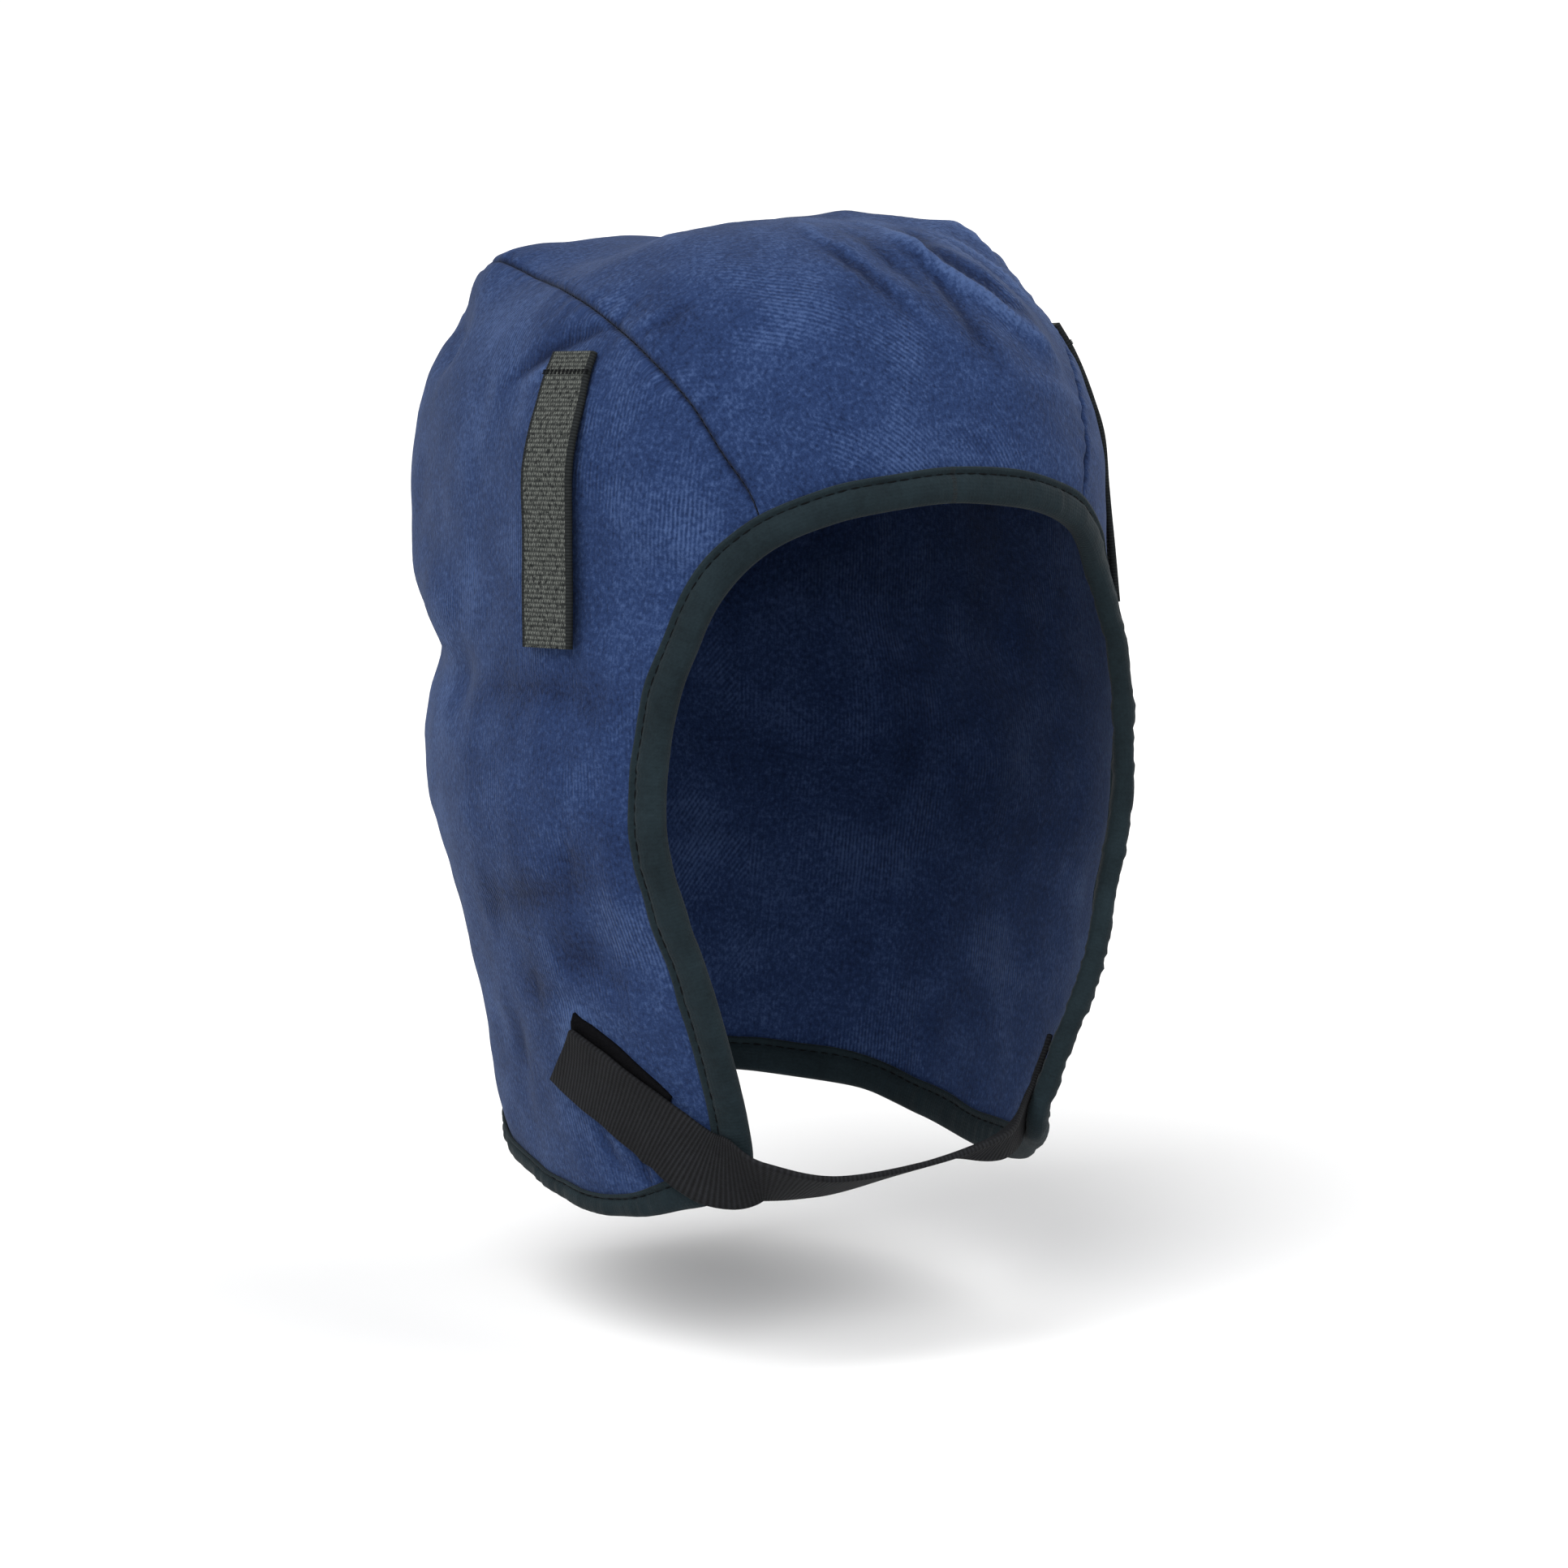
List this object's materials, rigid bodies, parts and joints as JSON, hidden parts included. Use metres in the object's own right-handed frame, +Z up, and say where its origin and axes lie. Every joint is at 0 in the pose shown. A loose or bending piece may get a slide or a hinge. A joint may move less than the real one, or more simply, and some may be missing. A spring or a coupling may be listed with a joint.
{
  "type": "helmet liner hood",
  "caption": "Padded cloth hood worn under a safety helmet, with a bound face edge, helmet tabs at the temples and a webbing chin strap closed by a loop patch.",
  "frame": {"origin": "top of the hollow inside the crown, where the wearer's crown sits", "axes": "+Z up, the wearer looks along -Y, +X is the wearer's left"},
  "size_m": [0.164, 0.2058, 0.2464],
  "materials": {
    "cloth": "navy cotton twill, matt",
    "binding": "dark green-black cotton tape, matt",
    "tab": "grey woven hook-tape back",
    "webbing": "black ribbed webbing"
  },
  "bodies": {
    "root": {"crown_panel": "cloth", "side_panel_right": "cloth", "side_panel_left": "cloth", "edge_binding": "binding", "helmet_tab_right": "tab", "helmet_tab_left": "tab", "strap_patch": "webbing", "chin_strap": "webbing"}
  },
  "joints": []
}
